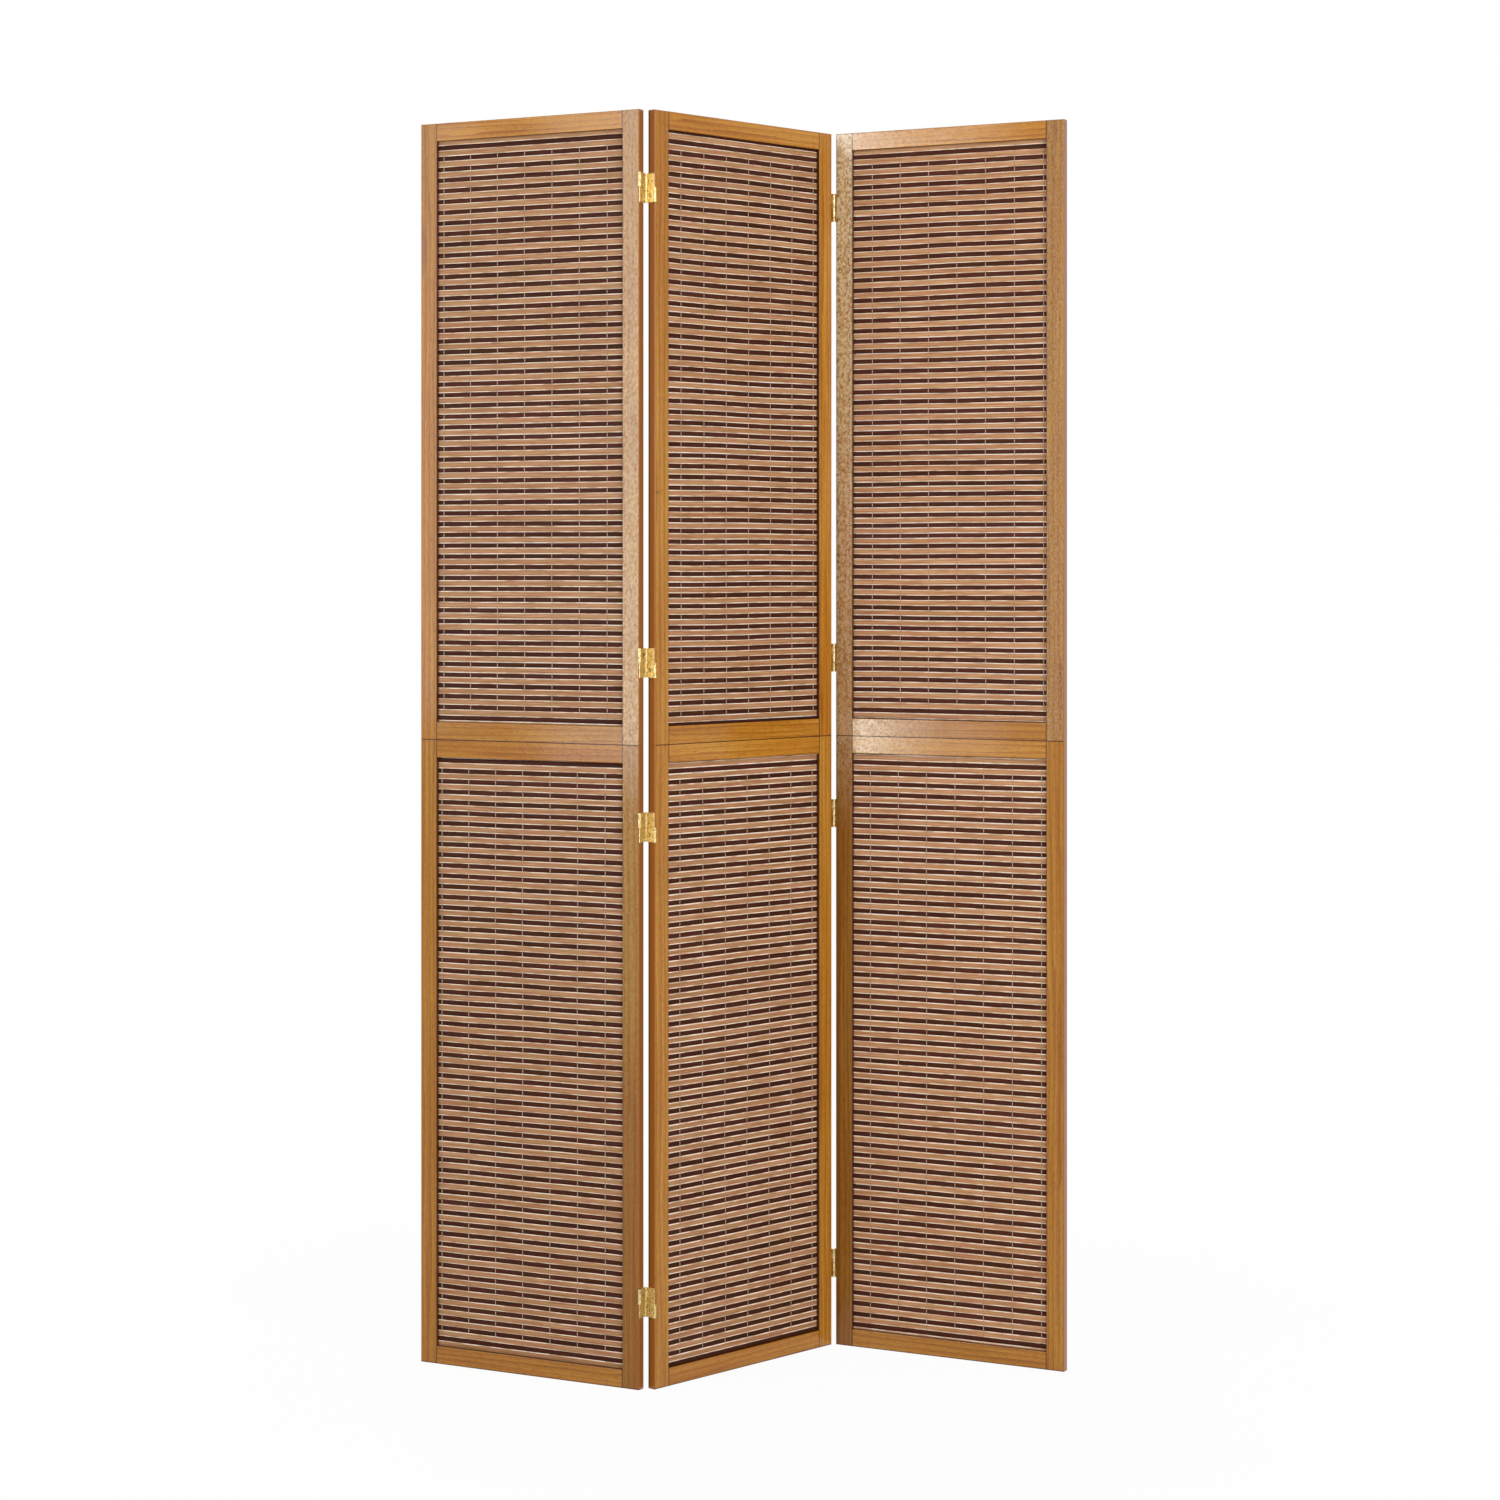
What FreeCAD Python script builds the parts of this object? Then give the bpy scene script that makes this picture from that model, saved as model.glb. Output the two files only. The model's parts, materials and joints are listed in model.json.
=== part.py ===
import FreeCAD, Part
import math
import os

# Folding screen: three panels on double-acting hinges, each panel two slatted frames stacked.
# Millimetres, +Z up. The origin is on the floor under the centre of the middle panel, and the
# panels stand in the zigzag in which the screen is used. The viewer is on the -Y side.

# Panels
panel_width = 400.0
panel_thickness = 16.0
frame_heights = {"lower": 1006.5, "upper": 993.5}
# Turn between neighbouring panels as the screen stands, in degrees
fold_angle = 71.0

# Frame members: stiles run the full height of a frame, rails butt between them
stile_width = 30.0
rail_height = 29.0
arris_radius = 1.6
# Edges that meet at the seam between the frames are only broken
seam_arris_radius = 0.5
stile_groove_depth = 6.0
rail_groove_depth = 11.0

# Dowels: one along each rail at every corner, two across the seam between the frames
dowel_radius = 4.0
corner_dowel_length = 36.0
seam_dowel_length = 28.0
seam_dowel_spacing = 200.0
dowel_end_gap = 1.0
fit_clearance = 0.05

# Slats, woven into a mat that sits in the grooves
light_slat_height = 10.0
light_slat_thickness = 3.0
dark_slat_height = 6.0
dark_slat_thickness = 2.4
slat_chamfer = 0.7
slat_end_gap = 1.0
slat_edge_gap = 0.8

# Warp threads: flat strips on both faces of the mat
thread_width = 1.2
thread_thickness = 0.5
thread_spacing = 50.0
thread_clearance = 0.1

# From one dark slat to the next: the mats are woven more and less tightly
slat_pitches = {
    ("left", "upper"): 17.33, ("left", "lower"): 16.96,
    ("middle", "upper"): 17.01, ("middle", "lower"): 17.27,
    ("right", "upper"): 16.86, ("right", "lower"): 17.5,
}
# First dark slat below each opening's top
first_dark_drops = {
    ("left", "upper"): 10.6, ("left", "lower"): 4.2,
    ("middle", "upper"): 16.4, ("middle", "lower"): 14.0,
    ("right", "upper"): 11.1, ("right", "lower"): 14.6,
}
# First warp thread from each opening's left side, as a share of the thread spacing
first_thread_shares = {
    ("left", "upper"): 0.20, ("left", "lower"): 0.13,
    ("middle", "upper"): 0.65, ("middle", "lower"): 0.60,
    ("right", "upper"): 0.67, ("right", "lower"): 0.60,
}

# Double-acting hinges: two leaves, two crossed links and four pins each
hinge_height = 46.0
# Middles of the two hinges on each frame: above its foot and below its head
hinge_insets = {"lower": (135.0, 128.5), "upper": (128.5, 122.0)}
# Half of the gap between two panels laid flat, which is the pins' distance from each edge
hinge_half_gap = 2.3
# The pins' distance beyond the panels' faces
pin_standoff = 2.4
pin_radius = 1.3
barrel_radius = 2.6
leaf_thickness = 1.2
link_thickness = 1.2
leaf_knuckle = 6.5
knuckle_gap = 0.25
link_gap = 0.4
swing_gap = 0.35
pin_end_inset = 0.1
running_clearance = 0.05
access_hole_radius = 3.5

# Countersunk screws, one in each half of a leaf
screw_radius = 1.5
screw_head_radius = 2.55
screw_length = 15.0
screw_point = 3.0
cross_slot_width = 0.7
cross_slot_depth = 0.6

# How far cutting shapes run past what they cut
overrun = 1.0

# Derived sizes
opening_width = panel_width - 2 * stile_width
groove_width = light_slat_thickness + 2 * (thread_thickness + thread_clearance)
slat_length = opening_width + 2 * (stile_groove_depth - slat_end_gap)
pin_x = panel_width / 2 + hinge_half_gap
pin_y = panel_thickness / 2 + pin_standoff
plate_half = pin_y - barrel_radius - swing_gap
screw_z = (link_gap / 2 + hinge_height / 2) / 2
rail_solid = rail_height - rail_groove_depth

tier_bases = {"lower": 0, "upper": frame_heights["lower"]}
# Height of the seam within each frame
seam_levels = {"lower": frame_heights["lower"], "upper": 0}
panel_turns = {"left": -fold_angle / 2, "middle": fold_angle / 2, "right": -fold_angle / 2}
# Sides of each panel that carry hinge leaves: -1 left edge, 1 right edge
hinged_sides = {"left": (1,), "middle": (-1, 1), "right": (-1,)}

V = FreeCAD.Vector
up = V(0, 0, 1)
along = V(1, 0, 0)


def block(x_span, y_span, z_span):
    """Box between two limits on each axis."""
    low = V(min(x_span), min(y_span), min(z_span))
    high = V(max(x_span), max(y_span), max(z_span))
    size = high - low
    return Part.makeBox(size.x, size.y, size.z, low)


def rod(radius, middle, direction, length):
    """Cylinder centred on a point."""
    return Part.makeCylinder(radius, length, middle - direction * (length / 2), direction)


def moved(shape, offset):
    """Copy of a shape, shifted."""
    copy = shape.copy()
    copy.translate(offset)
    return copy


def turned(shape, degrees):
    """Copy of a shape, turned about the vertical through the origin."""
    copy = shape.copy()
    copy.rotate(V(0, 0, 0), up, degrees)
    return copy


def flat_turn(point, degrees):
    """Point turned about the vertical."""
    return FreeCAD.Rotation(up, degrees).multVec(point)


def panel_place(panel):
    """Where a panel's own frame stands: neighbours share the pin that they fold about."""
    turn = panel_turns[panel]
    back_pin = V(pin_x, pin_y, 0)
    shared_pin = flat_turn(V(-pin_x, pin_y, 0), panel_turns["middle"])
    left_origin = shared_pin - flat_turn(back_pin, panel_turns["left"])
    origins = {"left": left_origin, "middle": V(0, 0, 0), "right": -left_origin}
    return FreeCAD.Placement(origins[panel], FreeCAD.Rotation(up, turn))


def stand(shape, panel):
    """Copy of a shape from a panel's own frame, put where the panel stands."""
    copy = shape.copy()
    copy.Placement = panel_place(panel).multiply(copy.Placement)
    return copy


# Frames

def hinge_heights(tier):
    """Heights of the two hinges on a frame."""
    above_foot, below_head = hinge_insets[tier]
    return (tier_bases[tier] + above_foot, tier_bases[tier] + frame_heights[tier] - below_head)


def frame_blank(tier):
    """One frame in a piece: arrises eased, less so at the seam, and a groove cut round the opening."""
    outer_x = (-panel_width / 2, panel_width / 2)
    outer_y = (-panel_thickness / 2, panel_thickness / 2)
    inner_x = (-opening_width / 2, opening_width / 2)
    inner_z = (rail_height, frame_heights[tier] - rail_height)
    blank = block(outer_x, outer_y, (0, frame_heights[tier]))
    opening = block(inner_x, (outer_y[0] - overrun, outer_y[1] + overrun), inner_z)
    blank = blank.cut(opening)
    seam = seam_levels[tier]
    face_edges = [edge for edge in blank.Edges if lies_on_a_face(edge) and not lies_at(edge, seam)]
    blank = blank.makeFillet(arris_radius, face_edges)
    seam_edges = [edge for edge in blank.Edges if lies_at(edge, seam)]
    blank = blank.makeFillet(seam_arris_radius, seam_edges)
    groove = block(
        (inner_x[0] - stile_groove_depth, inner_x[1] + stile_groove_depth),
        (-groove_width / 2, groove_width / 2),
        (inner_z[0] - rail_groove_depth, inner_z[1] + rail_groove_depth))
    return blank.cut(groove)


def lies_on_a_face(edge):
    """True for an edge that lies in the front or back face of a frame."""
    ends = [vertex.Point.y for vertex in edge.Vertexes]
    return math.isclose(ends[0], ends[-1])


def lies_at(edge, level):
    """True for an edge that lies wholly at one height."""
    return all(abs(vertex.Point.z - level) < fit_clearance for vertex in edge.Vertexes)


def corner_dowels(tier, radius, length):
    """Dowels along the rails at the four corners of a frame."""
    joint_x = panel_width / 2 - stile_width
    base = tier_bases[tier]
    heights = (base + rail_solid / 2, base + frame_heights[tier] - rail_solid / 2)
    return [rod(radius, V(side * joint_x, 0, z), along, length) for side in (-1, 1) for z in heights]


def seam_dowels(radius, length):
    """Upright dowels that hold the upper frame on the lower one."""
    return [rod(radius, V(side * seam_dowel_spacing / 2, 0, tier_bases["upper"]), up, length) for side in (-1, 1)]


def frame_members(panel, tier):
    """Stiles and rails of one frame, bored for dowels and hinge screws."""
    base = tier_bases[tier]
    bore = dowel_radius + fit_clearance
    holes = corner_dowels(tier, bore, corner_dowel_length + 2 * dowel_end_gap)
    holes += seam_dowels(bore, seam_dowel_length + 2 * dowel_end_gap)
    for side in hinged_sides[panel]:
        for z in hinge_heights(tier):
            holes += [hinge_at(hole, side, z) for hole in screw_holes(-side)]
    blank = moved(frame_blank(tier), V(0, 0, base)).cut(holes)
    inner = opening_width / 2
    outer = panel_width / 2
    depth = (-panel_thickness / 2, panel_thickness / 2)
    top = base + frame_heights[tier]
    cells = {
        "left_stile": block((-outer, -inner), depth, (base, top)),
        "right_stile": block((inner, outer), depth, (base, top)),
        "bottom_rail": block((-inner, inner), depth, (base, base + rail_height)),
        "top_rail": block((-inner, inner), depth, (top - rail_height, top)),
    }
    return {name: blank.common(cell) for name, cell in cells.items()}


# Slat mats

def slat(height, thickness):
    """Slat with eased long edges, centred on the origin."""
    body = block((-slat_length / 2, slat_length / 2), (-thickness / 2, thickness / 2), (-height / 2, height / 2))
    long_edges = [edge for edge in body.Edges if math.isclose(edge.Length, slat_length)]
    return body.makeChamfer(slat_chamfer, long_edges)


def slat_heights(panel, tier, height, offset):
    """Heights of the slats of one kind that a frame has room for; the offset is in pitches."""
    foot = tier_bases[tier] + rail_height
    head = tier_bases[tier] + frame_heights[tier] - rail_height
    seat = rail_groove_depth - slat_edge_gap
    low = foot - seat
    high = head + seat
    pitch = slat_pitches[panel, tier]
    start = head - first_dark_drops[panel, tier] + offset * pitch
    count = math.ceil((high - low) / pitch) + 1
    middles = [start + (1 - index) * pitch for index in range(count + 1)]
    return [z for z in middles if z - height / 2 >= low and z + height / 2 <= high]


def slat_mat(panel, tier):
    """Light slats, dark slats and warp threads of one mat."""
    light_heights = slat_heights(panel, tier, light_slat_height, 0.5)
    dark_heights = slat_heights(panel, tier, dark_slat_height, 0)
    light = slat(light_slat_height, light_slat_thickness)
    dark = slat(dark_slat_height, dark_slat_thickness)
    top = max(light_heights[0] + light_slat_height / 2, dark_heights[0] + dark_slat_height / 2)
    foot = min(light_heights[-1] - light_slat_height / 2, dark_heights[-1] - dark_slat_height / 2)
    return {
        "light_slats": [moved(light, V(0, 0, z)) for z in light_heights],
        "dark_slats": [moved(dark, V(0, 0, z)) for z in dark_heights],
        "warp_threads": warp_threads(panel, tier, foot, top),
    }


def warp_threads(panel, tier, foot, top):
    """Threads down both faces of a mat, evenly spaced from the left."""
    first = first_thread_shares[panel, tier] * thread_spacing
    count = int((opening_width - thread_width / 2 - first) // thread_spacing) + 1
    inner = light_slat_thickness / 2
    threads = []
    for index in range(count):
        x = first + index * thread_spacing - opening_width / 2
        for face in (-1, 1):
            reach = (face * inner, face * (inner + thread_thickness))
            threads.append(block((x - thread_width / 2, x + thread_width / 2), reach, (foot, top)))
    return threads


# Hinges, in a frame of their own: origin midway between two flat panels, at the hinge's mid height

def half_span(half):
    """Lower and upper limit of a hinge's upper (1) or lower (-1) half."""
    return sorted((half * link_gap / 2, half * hinge_height / 2))


def leaf_knuckle_spans(half):
    """Heights of the two leaf knuckles in a half."""
    low, high = half_span(half)
    return ((low, low + leaf_knuckle), (high - leaf_knuckle, high))


def link_knuckle_span(half):
    """Height of the link's knuckle, between the leaf's two."""
    low, high = half_span(half)
    return (low + leaf_knuckle + knuckle_gap, high - leaf_knuckle - knuckle_gap)


def upright(radius, y, span):
    """Upright cylinder on a pin axis."""
    low, high = span
    return rod(radius, V(0, y, (low + high) / 2), up, high - low)


def hinge_leaf():
    """Leaf of the left-hand panel: its upper half has the front barrel, its lower half the back one."""
    x_span = (-hinge_half_gap, leaf_thickness - hinge_half_gap)
    leaf = block(x_span, (-plate_half, plate_half), (-hinge_height / 2, hinge_height / 2))
    bores = []
    for half, face in ((1, -1), (-1, 1)):
        for span in leaf_knuckle_spans(half):
            web = block(x_span, (face * (plate_half - overrun), face * pin_y), span)
            leaf = leaf.fuse([web, upright(barrel_radius, face * pin_y, span)])
            bores.append(upright(pin_radius + running_clearance, face * pin_y, span))
    return leaf.removeSplitter().cut(bores + screw_holes(-1))


def hinge_link(half):
    """Link that joins the front barrel of one leaf to the back barrel of the other."""
    x_span = (-link_thickness / 2, link_thickness / 2)
    span = half_span(half)
    knuckle = link_knuckle_span(half)
    link = block(x_span, (-plate_half, plate_half), span)
    bores = [rod(access_hole_radius, V(0, 0, half * screw_z), along, link_thickness + 2 * overrun)]
    for face in (-1, 1):
        web = block(x_span, (face * (plate_half - overrun), face * pin_y), knuckle)
        link = link.fuse([web, upright(barrel_radius, face * pin_y, knuckle)])
        bores.append(upright(pin_radius, face * pin_y, knuckle))
    return link.removeSplitter().cut(bores)


def hinge_pin(half, face):
    """Pin through the three knuckles of a barrel."""
    low, high = half_span(half)
    return upright(pin_radius, face * pin_y, (low + pin_end_inset, high - pin_end_inset))


def link_pin_piece(half, face):
    """Middle piece of a parted pin, inside the link's knuckle."""
    return upright(pin_radius, face * pin_y, link_knuckle_span(half))


def leaf_pin_pieces(half, face):
    """End pieces of a parted pin, inside the leaf's knuckles."""
    return [upright(pin_radius, face * pin_y, span) for span in leaf_knuckle_spans(half)]


def screw_body(clearance):
    """Countersunk screw pointing to -X, its head flush with a left-hand leaf, or the hole for it."""
    face = leaf_thickness - hinge_half_gap
    cone = screw_head_radius - screw_radius
    tip = face - screw_length
    shank = screw_radius + clearance
    profile = [
        V(face + clearance, 0, 0),
        V(face + clearance, 0, screw_head_radius + 2 * clearance),
        V(face - cone, 0, shank),
        V(tip + screw_point, 0, shank),
        V(tip - clearance, 0, 0),
    ]
    wire = Part.makePolygon(profile + profile[:1])
    return Part.Face(wire).revolve(V(0, 0, 0), along, 360)


def both_halves(shape, panel_side):
    """A shape at both screws of a leaf: -1 is the left-hand panel's leaf."""
    pair = [moved(shape, V(0, 0, half * screw_z)) for half in (-1, 1)]
    return pair if panel_side < 0 else [turned(each, 180) for each in pair]


def leaf_screws(panel_side):
    """Screws of a leaf."""
    return both_halves(screw_body(0).cut(cross_slots(leaf_thickness - hinge_half_gap)), panel_side)


def screw_holes(panel_side):
    """Holes for the screws of a leaf."""
    return both_halves(screw_body(fit_clearance), panel_side)


def cross_slots(face):
    """Cross recess of a screw head whose top is at a given x."""
    reach = screw_head_radius - cross_slot_width
    thin = (-cross_slot_width / 2, cross_slot_width / 2)
    deep = (face - cross_slot_depth, face + overrun)
    return [block(deep, thin, (-reach, reach)), block(deep, (-reach, reach), thin)]


def hinge_at(shape, side, z):
    """Copy of a hinge piece at a panel's left (-1) or right (1) edge, in the panel's frame."""
    return moved(shape, V(side * pin_x, 0, z))


def hinge_levels():
    """Heights of all hinges on one edge of a panel."""
    return [z for tier in tier_bases for z in hinge_heights(tier)]


def along_edge(pieces, side):
    """Copies of hinge pieces at every hinge on one edge of a panel."""
    return [hinge_at(piece, side, z) for z in hinge_levels() for piece in pieces]


def panel_hardware(panel):
    """Leaves and screws on a panel's hinged edges."""
    leaves = []
    screws = []
    for side in hinged_sides[panel]:
        # A leaf on a right edge is the left-hand leaf of its hinge
        leaf = hinge_leaf() if side > 0 else turned(hinge_leaf(), 180)
        leaves += along_edge([leaf], side)
        screws += along_edge(leaf_screws(-side), side)
    return {"hinge_leaves": leaves, "hinge_screws": screws}


def gap_hardware(outer_panel):
    """Links and pins between the middle panel and an outer one, each where it lies at rest."""
    side = -1 if outer_panel == "left" else 1
    # The lower links turn on the middle panel's pin, and their other pin is parted at its knuckles
    closed_face = side
    open_face = -side
    upper = along_edge([hinge_link(1)], -side)
    upper_pins = along_edge([hinge_pin(1, -1), hinge_pin(1, 1)], -side)
    lower = along_edge([hinge_link(-1)], side)
    lower_pins = along_edge([hinge_pin(-1, closed_face), link_pin_piece(-1, open_face)], side)
    pin_ends = along_edge(leaf_pin_pieces(-1, open_face), -side)
    return {
        "upper_links": (outer_panel, upper),
        "upper_pins": (outer_panel, upper_pins),
        "lower_links": ("middle", lower),
        "lower_pins": ("middle", lower_pins),
        "pin_ends": (outer_panel, pin_ends),
    }


# Nodes

def all_nodes():
    """Every node's solids, standing where they belong."""
    nodes = {}
    for panel in panel_turns:
        threads = []
        dowels = seam_dowels(dowel_radius, seam_dowel_length)
        for tier in tier_bases:
            for name, member in frame_members(panel, tier).items():
                nodes[f"{panel}_{tier}_{name}"] = [stand(member, panel)]
            mat = slat_mat(panel, tier)
            threads += mat.pop("warp_threads")
            for name, slats in mat.items():
                nodes[f"{panel}_{tier}_{name}"] = [stand(piece, panel) for piece in slats]
            dowels += corner_dowels(tier, dowel_radius, corner_dowel_length)
        groups = {"warp_threads": threads, "dowels": dowels}
        groups.update(panel_hardware(panel))
        for name, pieces in groups.items():
            nodes[f"{panel}_{name}"] = [stand(piece, panel) for piece in pieces]
    for outer_panel in ("left", "right"):
        for name, (panel, pieces) in gap_hardware(outer_panel).items():
            nodes[f"{outer_panel}_{name}"] = [stand(piece, panel) for piece in pieces]
    return nodes


def write_nodes(nodes):
    """One STEP file per node, a group of separate solids where a node has several."""
    os.makedirs("parts", exist_ok=True)
    for name, pieces in nodes.items():
        solids = [solid for piece in pieces for solid in piece.Solids]
        shape = solids[0] if len(solids) == 1 else Part.makeCompound(solids)
        shape.exportStep(f"parts/{name}.step")
        print(name, len(solids), "solids", round(shape.Volume), "mm3")


def print_pins():
    """Pin axes at rest, in the part's frame."""
    for panel, sides in hinged_sides.items():
        for side in sides:
            for name, face in (("front", -1), ("back", 1)):
                place = panel_place(panel).multVec(V(side * pin_x, face * pin_y, 0))
                print(panel, "panel", "left" if side < 0 else "right", "edge", name, "pin",
                      round(place.x, 4), round(place.y, 4))


write_nodes(all_nodes())
print_pins()
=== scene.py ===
# %% [markdown]
# # A slatted folding screen
# Three tall panels stand in a zigzag. Each panel is two varnished frames, one on the other, and each
# frame holds a mat of light and dark slats woven on cotton threads. Small brass hinges join the panels.
# The frames and hinges come from the CAD model as they are. The mats are modelled here, because their
# charm is in being uneven: no two slats are quite straight, quite parallel or quite the same colour.

# %% Load the frame
import json
import math
import bmesh
import bpy
import numpy as np
from mathutils import Matrix, Vector

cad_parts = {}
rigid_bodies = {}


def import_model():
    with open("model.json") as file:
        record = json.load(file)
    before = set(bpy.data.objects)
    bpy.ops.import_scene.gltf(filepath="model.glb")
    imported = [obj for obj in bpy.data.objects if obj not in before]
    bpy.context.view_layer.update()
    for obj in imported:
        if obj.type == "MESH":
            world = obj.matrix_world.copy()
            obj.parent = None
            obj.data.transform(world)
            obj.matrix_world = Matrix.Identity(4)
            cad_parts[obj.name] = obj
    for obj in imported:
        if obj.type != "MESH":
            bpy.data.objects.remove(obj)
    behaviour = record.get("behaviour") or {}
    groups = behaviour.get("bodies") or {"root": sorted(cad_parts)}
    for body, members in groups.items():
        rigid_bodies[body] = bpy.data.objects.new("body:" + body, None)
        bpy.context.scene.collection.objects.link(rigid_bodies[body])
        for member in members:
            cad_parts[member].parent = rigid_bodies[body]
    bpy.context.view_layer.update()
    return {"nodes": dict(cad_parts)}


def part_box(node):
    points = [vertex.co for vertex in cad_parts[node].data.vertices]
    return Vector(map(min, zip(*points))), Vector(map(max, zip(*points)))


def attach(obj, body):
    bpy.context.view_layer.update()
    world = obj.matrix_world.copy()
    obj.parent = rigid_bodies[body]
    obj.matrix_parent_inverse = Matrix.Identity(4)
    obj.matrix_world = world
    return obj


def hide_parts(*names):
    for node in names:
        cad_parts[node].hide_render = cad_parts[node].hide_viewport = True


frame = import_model()
MM = 0.001
TINY = 0.00001
PANELS = ("left", "middle", "right")
TIERS = ("lower", "upper")

# %% [markdown]
# ## Where each panel stands
# Everything on a panel is easiest to model in the panel's own frame: X along it, Y through it towards the
# back, Z up. The two stiles of a lower frame show where that frame lies, so nothing is typed twice.


# %% Panel frames
def node_centre(node):
    """Middle of a CAD node's box."""
    low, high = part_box(node)
    return (Vector(low) + Vector(high)) / 2


def panel_frame(panel):
    """Angle of a panel about the vertical, and the matrix from its own frame to the part's frame."""
    left = node_centre(f"{panel}_lower_left_stile")
    right = node_centre(f"{panel}_lower_right_stile")
    turn = math.atan2(right.y - left.y, right.x - left.x)
    middle = (left + right) / 2
    return turn, Matrix.Translation((middle.x, middle.y, 0)) @ Matrix.Rotation(turn, 4, "Z")


def points_of(piece):
    """Coordinates of a mesh's vertices, one row each."""
    flat = np.empty(3 * len(piece.data.vertices))
    piece.data.vertices.foreach_get("co", flat)
    return flat.reshape(-1, 3)


def node_points(node, panel):
    """Vertices of a CAD node in its panel's own frame."""
    inverse = np.array(panel_frames[panel][1].inverted())
    return points_of(frame["nodes"][node]) @ inverse[:3, :3].T + inverse[:3, 3]


panel_frames = {panel: panel_frame(panel) for panel in PANELS}
SEAM_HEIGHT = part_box("middle_lower_left_stile")[1][2]
for panel, (turn, place) in panel_frames.items():
    print(panel, "panel turned", round(math.degrees(turn), 2), "degrees, standing at", place.translation[:2])
print("Seam between the frames at", SEAM_HEIGHT)

# %% [markdown]
# ## Material helpers
# Colours are written as the hex values that a colour picker shows, and turned to the linear values that a
# shader mixes. One helper adds a node with its settings and links. A pattern's size is given in millimetres:
# a Mapping node of type Texture divides the place by that size and turns the grain to lie along its piece.


# %% Helpers for materials
def linear(hex_colour, tone=1.0):
    """Linear RGBA of an sRGB hex colour, lightened or darkened by a factor."""
    parts = [int(hex_colour[i:i + 2], 16) / 255 for i in (1, 3, 5)]
    return [tone * (p / 12.92 if p <= 0.04045 else ((p + 0.055) / 1.055) ** 2.4) for p in parts] + [1.0]


def add(tree, kind, inputs=None, stops=None, **settings):
    """Add a node. Inputs are values or output sockets, by name or number; stops are a ramp's colours."""
    node = tree.nodes.new(kind)
    for key, value in settings.items():
        setattr(node, key, value)
    for key, value in (inputs or {}).items():
        if isinstance(value, bpy.types.NodeSocket):
            tree.links.new(value, node.inputs[key])
        else:
            node.inputs[key].default_value = value
    if stops:
        while len(node.color_ramp.elements) < len(stops):
            node.color_ramp.elements.new(1)
        for element, (place, colour) in zip(node.color_ramp.elements, stops):
            element.position = place
            element.color = colour
    return node


def new_material(name, finish):
    """Material with a Principled shader wired to its output; finish holds the shader's constants by socket."""
    material = bpy.data.materials.new(name)
    material.use_nodes = True
    tree = material.node_tree
    tree.nodes.clear()
    shader = add(tree, "ShaderNodeBsdfPrincipled", finish)
    add(tree, "ShaderNodeOutputMaterial", {"Surface": shader.outputs["BSDF"]})
    return material, tree, shader


def stretched(tree, turn, sizes_mm, start=(0, 0, 0)):
    """Place on a piece, turned with its panel and divided by a pattern's size along each axis."""
    place = add(tree, "ShaderNodeTexCoord").outputs["Object"]
    mapping = add(tree, "ShaderNodeMapping", {
        "Vector": place, "Location": start, "Rotation": (0, 0, turn),
        "Scale": [size * MM for size in sizes_mm]}, vector_type="TEXTURE")
    return mapping.outputs["Vector"]


def dress(node, material):
    """Give a CAD node one material."""
    mesh = frame["nodes"][node].data
    mesh.materials.clear()
    mesh.materials.append(material)


# %% [markdown]
# ## Varnished frame wood
# The frames are a plain plantation pine, sanded and sprayed with a honey-coloured gloss varnish. The eye
# sees long fine streaks along each stick, a broader figure, a slow drift of tone and faint growth rings. Each
# stick is cut from another board, so each gets its own start in the pattern and its own tone. The patterns
# are noise drawn out along the grain: a picture of wood would have to be unwrapped, and would repeat.

# %% Patterns of the wood: size across and along the grain in mm, detail, distortion and colours
GRAIN = {
    "streak": (1.6, 110.0, 4.0, 0.3, ("#915b12", "#ad7522", "#b98330")),
    "figure": (9.0, 300.0, 2.0, 1.4, ("#8f5a12", "#ab7320", "#bd8934")),
    "drift": (38.0, 360.0, 1.0, 0.0, ("#9a5f14", "#aa7322", "#b8893a")),
    "pore": (0.8, 9.0, 1.0, 0.0, ("#e4d4be", "#ffffff", "#ffffff")),
}
GRAIN_STOPS = (0.32, 0.48, 0.68)
FIGURE_SHARE, DRIFT_SHARE = 0.6, 0.42
RING_MM = (10.0, 260.0)
RING_WARP = {"Distortion": 7.0, "Detail": 2.0, "Detail Scale": 2.0}
RING_STOPS = ((0.0, "#ffffff"), (0.6, "#f8f1e8"), (1.0, "#dcc8ae"))
# At scale 1 a wave texture repeats every 2 pi / 20 units, so this scale makes one ring as wide as RING_MM
RING_SCALE = 2 * math.pi / 20


# %% Colour of the wood
def along_grain(grain, wide, long):
    """A pattern's size along X, Y and Z, on a stick whose grain runs along X or Z."""
    return (long, wide, wide) if grain == "X" else (wide, wide, long)


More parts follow.
